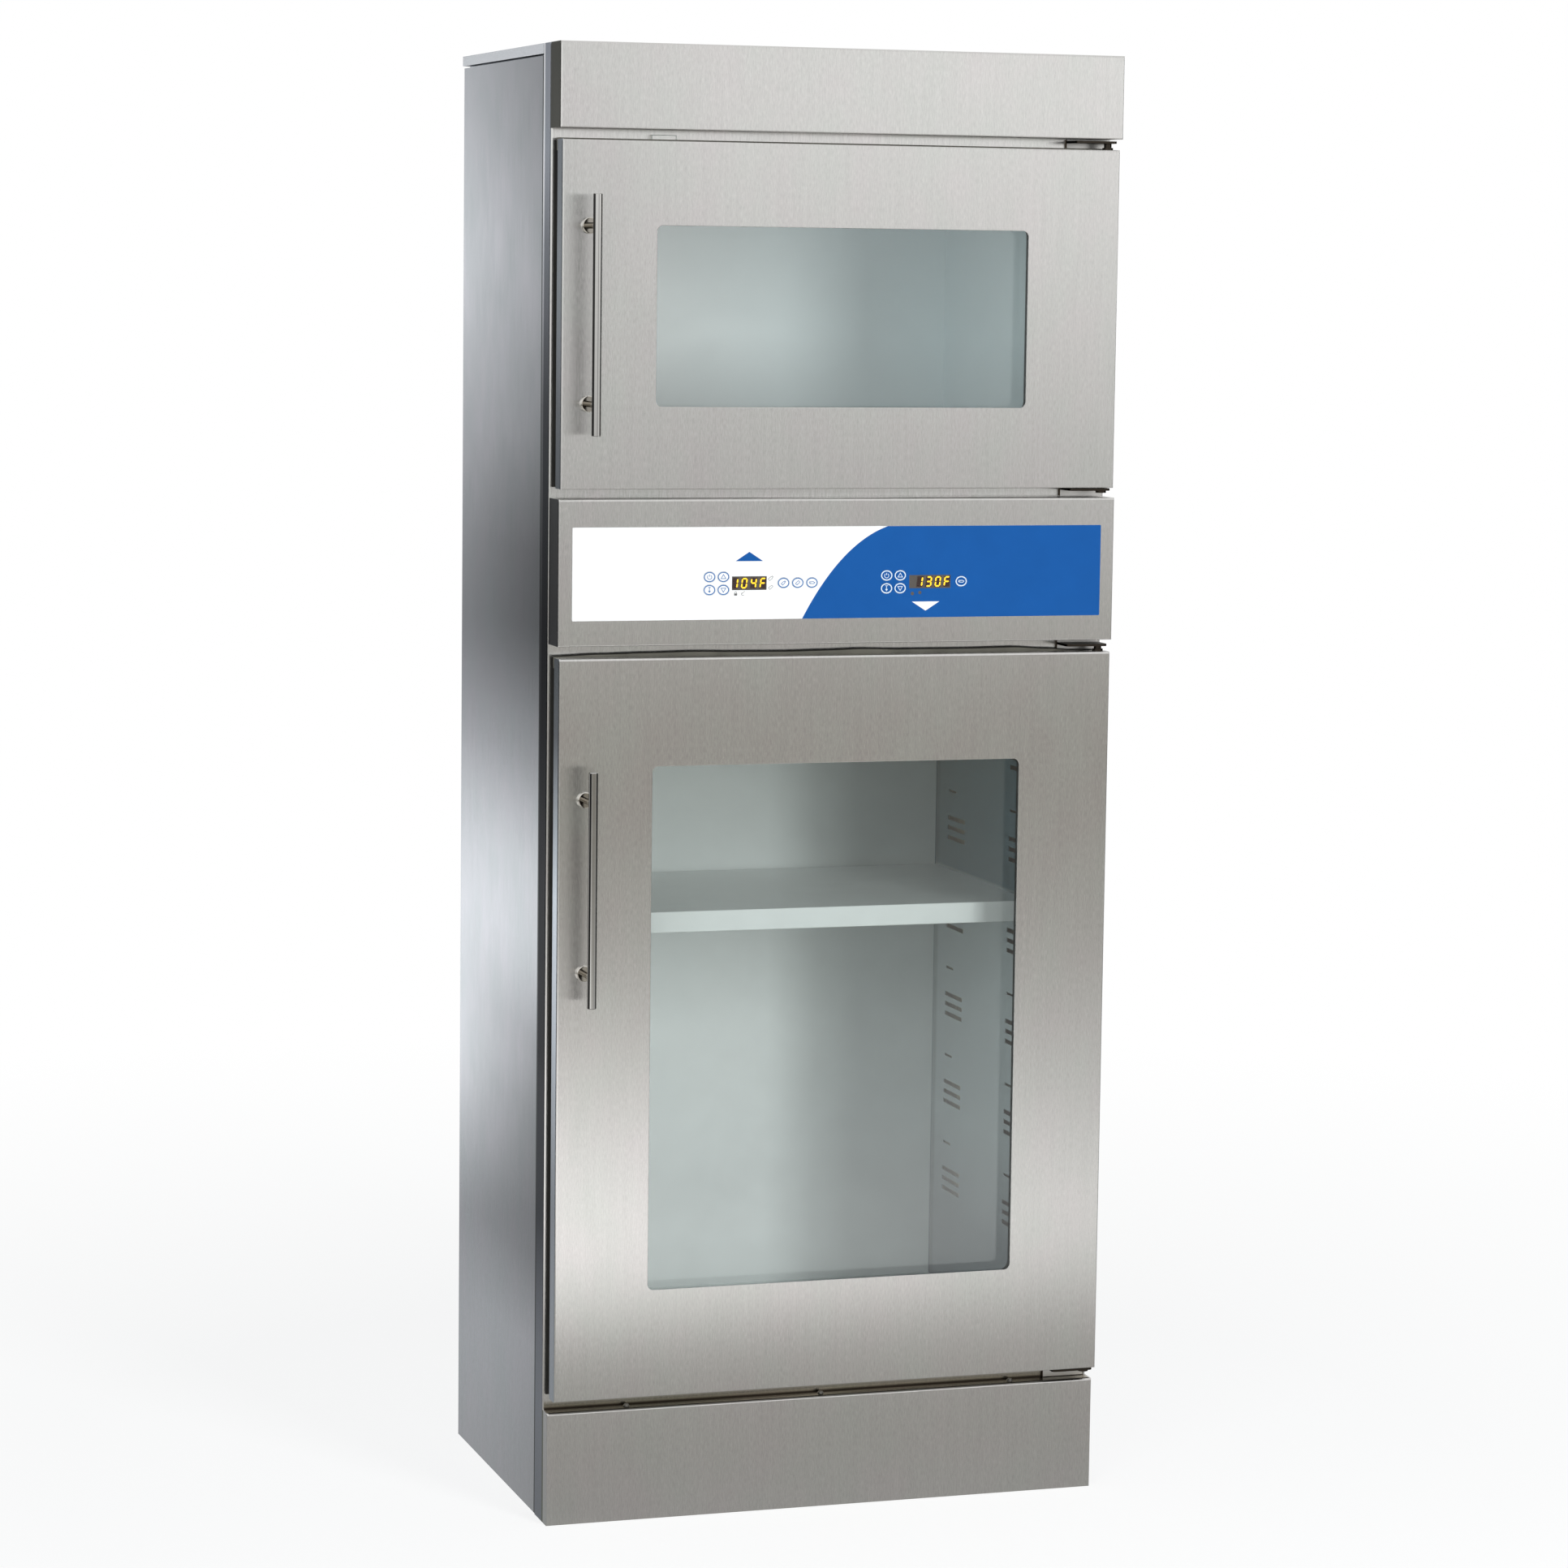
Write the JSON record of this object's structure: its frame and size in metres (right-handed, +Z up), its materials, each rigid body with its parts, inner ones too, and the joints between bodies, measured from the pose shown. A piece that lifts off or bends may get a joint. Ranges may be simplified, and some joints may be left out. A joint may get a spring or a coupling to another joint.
{
  "type": "blanket warming cabinet",
  "caption": "Free-standing stainless warming cabinet with a small upper and a tall lower heated chamber, each behind a hinged glass-window door, and a key-and-display panel between them.",
  "frame": {"origin": "on the floor, in the middle of the case's footprint (front frame face to back)", "axes": "+X to the right of a person facing the doors, +Y from the doors to the back, +Z up"},
  "size_m": [0.762, 0.5755, 1.921],
  "materials": {
    "case_steel": "satin brushed stainless, vertical grain",
    "chamber_steel": "dull rolled stainless",
    "gasket_rubber": "matte black extrusion",
    "window_glass": "clear float glass with a faint green tint",
    "handle_steel": "satin polished stainless bar",
    "hardware_steel": "plain zinc-plated or stainless steel",
    "insulation": "foil-faced fibre board",
    "motor_paint": "satin black",
    "wheel_aluminium": "mill finish",
    "heater_steel": "heat-darkened sheath",
    "overlay_film": "printed polyester film, white and blue",
    "upper_keys": "white film with blue rings",
    "lower_keys": "blue film with white rings",
    "display_lens": "smoked lens over amber digits",
    "board_green": "solder mask",
    "gland_black": "moulded nylon",
    "sensor_grey": "moulded light grey"
  },
  "bodies": {
    "cabinet": {"left_side_panel": "case_steel", "right_side_panel": "case_steel", "back_panel": "case_steel", "top_cap": "case_steel", "front_frame": "case_steel", "header_panel": "case_steel", "kick_panel": "case_steel", "base_pan": "case_steel", "panel_screws": "hardware_steel", "cord_gland": "gland_black", "temperature_probes": "hardware_steel", "lower_shelf": "chamber_steel", "shelf_clips": "chamber_steel", "lower_liner": "chamber_steel", "upper_liner": "chamber_steel", "lower_insulation": "insulation", "upper_insulation": "insulation", "lower_blower_motor": "motor_paint", "upper_blower_motor": "motor_paint", "lower_heater": "heater_steel", "upper_heater": "heater_steel", "control_housing": "case_steel", "control_overlay": "overlay_film", "control_board": "board_green", "lower_display": "display_lens", "upper_display": "display_lens", "lower_door_bottom_hinge": "hardware_steel", "lower_door_top_hinge": "hardware_steel", "upper_door_bottom_hinge": "hardware_steel", "upper_door_top_hinge": "hardware_steel", "door_sensor": "sensor_grey"},
    "lower_door": {"lower_door_shell": "case_steel", "lower_door_inner_pan": "chamber_steel", "lower_door_gasket": "gasket_rubber", "lower_outer_glass": "window_glass", "lower_inner_glass": "window_glass", "lower_handle_bar": "handle_steel", "lower_handle_posts": "handle_steel"},
    "upper_door": {"upper_door_shell": "case_steel", "upper_door_inner_pan": "chamber_steel", "upper_door_gasket": "gasket_rubber", "upper_outer_glass": "window_glass", "upper_inner_glass": "window_glass", "upper_handle_bar": "handle_steel", "upper_handle_posts": "handle_steel"},
    "lower_blower": {"lower_blower_wheel": "wheel_aluminium"},
    "upper_blower": {"upper_blower_wheel": "wheel_aluminium"},
    "upper_power_key": {"upper_power_key": "upper_keys"},
    "upper_raise_key": {"upper_raise_key": "upper_keys"},
    "upper_set_key": {"upper_set_key": "upper_keys"},
    "upper_lower_key": {"upper_lower_key": "upper_keys"},
    "upper_bottle_key": {"upper_bottle_key": "upper_keys"},
    "upper_bag_key": {"upper_bag_key": "upper_keys"},
    "upper_blanket_key": {"upper_blanket_key": "upper_keys"},
    "lower_power_key": {"lower_power_key": "lower_keys"},
    "lower_raise_key": {"lower_raise_key": "lower_keys"},
    "lower_set_key": {"lower_set_key": "lower_keys"},
    "lower_lower_key": {"lower_lower_key": "lower_keys"},
    "lower_blanket_key": {"lower_blanket_key": "lower_keys"}
  },
  "joints": [
    {"name": "lower_door_hinge", "type": "hinge", "parent": "cabinet", "child": "lower_door", "pos_m": [0.366, -0.2645, 0.655], "axis": [0, 0, 1], "range_deg": [0, 110]},
    {"name": "upper_door_hinge", "type": "hinge", "parent": "cabinet", "child": "upper_door", "pos_m": [0.366, -0.2645, 1.578], "axis": [0, 0, 1], "range_deg": [0, 110]},
    {"name": "lower_blower_spin", "type": "hinge", "parent": "cabinet", "child": "lower_blower", "pos_m": [0, 0, 1.105], "axis": [0, 0, 1], "continuous": true},
    {"name": "upper_blower_spin", "type": "hinge", "parent": "cabinet", "child": "upper_blower", "pos_m": [0, 0, 1.76], "axis": [0, 0, 1], "continuous": true},
    {"name": "upper_power_key_press", "type": "slide", "parent": "cabinet", "child": "upper_power_key", "axis": [0, 1, 0], "range_m": [0, 0.0004], "stiffness_N_per_m": 400, "springref_m": -0.0005},
    {"name": "upper_raise_key_press", "type": "slide", "parent": "cabinet", "child": "upper_raise_key", "axis": [0, 1, 0], "range_m": [0, 0.0004], "stiffness_N_per_m": 400, "springref_m": -0.0005},
    {"name": "upper_set_key_press", "type": "slide", "parent": "cabinet", "child": "upper_set_key", "axis": [0, 1, 0], "range_m": [0, 0.0004], "stiffness_N_per_m": 400, "springref_m": -0.0005},
    {"name": "upper_lower_key_press", "type": "slide", "parent": "cabinet", "child": "upper_lower_key", "axis": [0, 1, 0], "range_m": [0, 0.0004], "stiffness_N_per_m": 400, "springref_m": -0.0005},
    {"name": "upper_bottle_key_press", "type": "slide", "parent": "cabinet", "child": "upper_bottle_key", "axis": [0, 1, 0], "range_m": [0, 0.0004], "stiffness_N_per_m": 400, "springref_m": -0.0005},
    {"name": "upper_bag_key_press", "type": "slide", "parent": "cabinet", "child": "upper_bag_key", "axis": [0, 1, 0], "range_m": [0, 0.0004], "stiffness_N_per_m": 400, "springref_m": -0.0005},
    {"name": "upper_blanket_key_press", "type": "slide", "parent": "cabinet", "child": "upper_blanket_key", "axis": [0, 1, 0], "range_m": [0, 0.0004], "stiffness_N_per_m": 400, "springref_m": -0.0005},
    {"name": "lower_power_key_press", "type": "slide", "parent": "cabinet", "child": "lower_power_key", "axis": [0, 1, 0], "range_m": [0, 0.0004], "stiffness_N_per_m": 400, "springref_m": -0.0005},
    {"name": "lower_raise_key_press", "type": "slide", "parent": "cabinet", "child": "lower_raise_key", "axis": [0, 1, 0], "range_m": [0, 0.0004], "stiffness_N_per_m": 400, "springref_m": -0.0005},
    {"name": "lower_set_key_press", "type": "slide", "parent": "cabinet", "child": "lower_set_key", "axis": [0, 1, 0], "range_m": [0, 0.0004], "stiffness_N_per_m": 400, "springref_m": -0.0005},
    {"name": "lower_lower_key_press", "type": "slide", "parent": "cabinet", "child": "lower_lower_key", "axis": [0, 1, 0], "range_m": [0, 0.0004], "stiffness_N_per_m": 400, "springref_m": -0.0005},
    {"name": "lower_blanket_key_press", "type": "slide", "parent": "cabinet", "child": "lower_blanket_key", "axis": [0, 1, 0], "range_m": [0, 0.0004], "stiffness_N_per_m": 400, "springref_m": -0.0005}
  ]
}
